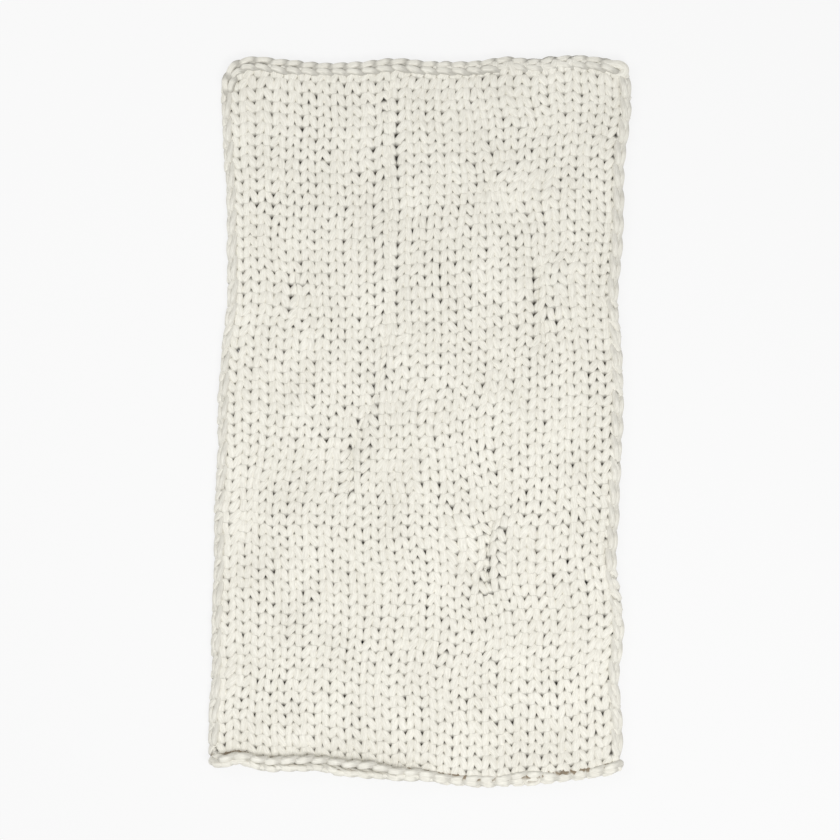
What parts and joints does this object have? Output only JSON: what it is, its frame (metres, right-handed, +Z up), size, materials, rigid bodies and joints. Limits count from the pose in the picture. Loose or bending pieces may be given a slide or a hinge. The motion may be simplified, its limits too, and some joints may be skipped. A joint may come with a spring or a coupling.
{
  "type": "knitted weighted blanket",
  "caption": "Chunky hand-knitted weighted blanket in thick cotton cord, laid flat with a bound-off top edge and a curled hem, for warmth and calming weight in bed.",
  "frame": {"origin": "middle of the blanket's outline, on the surface that it lies on", "axes": "+X across the blanket to its right, +Y along it towards the bound-off top edge, +Z up through the cloth from its back to its knit face"},
  "size_m": [1.0552, 1.833, 0.0623],
  "materials": {
    "cord": "matt ivory cotton jersey tube, finely ribbed along its length, softly lustrous"
  },
  "bodies": {
    "root": {"blanket": "cord"}
  },
  "joints": []
}
